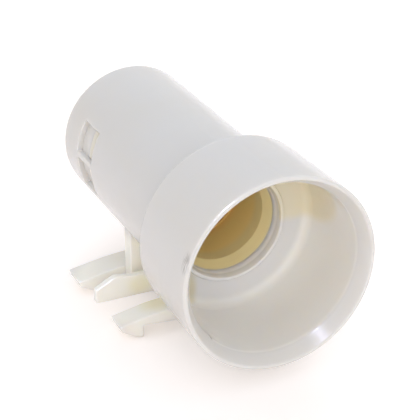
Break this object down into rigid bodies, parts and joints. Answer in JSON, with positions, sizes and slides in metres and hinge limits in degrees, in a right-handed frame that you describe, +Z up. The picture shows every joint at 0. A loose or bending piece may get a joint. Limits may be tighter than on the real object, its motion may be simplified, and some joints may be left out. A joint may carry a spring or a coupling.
{
  "type": "refrigerator lamp holder",
  "caption": "Moulded lamp holder with a wide cup mouth, a round tube and side snap prongs, holding a small screw lamp socket and push-on tabs.",
  "frame": {"origin": "on the lamp axis, at the front end of the round lamp bore, 24.2 mm behind the mouth of the cup", "axes": "-Y along the lamp axis out of the mouth, -X the way the snap prongs point, +Z up, away from the snap bracket"},
  "size_m": [0.0387, 0.0668, 0.0389],
  "materials": {
    "housing_plastic": "gloss",
    "socket_plastic": "satin",
    "shell_brass": "satin",
    "rivet_brass": "satin",
    "terminal_brass": "satin",
    "spring_bronze": "satin"
  },
  "bodies": {
    "root": {"housing": "housing_plastic", "lamp_socket": "socket_plastic", "screw_shell": "shell_brass", "shell_rivet": "rivet_brass", "shell_terminal": "terminal_brass", "centre_contact": "spring_bronze", "centre_rivet": "rivet_brass", "centre_terminal": "terminal_brass"}
  },
  "joints": []
}
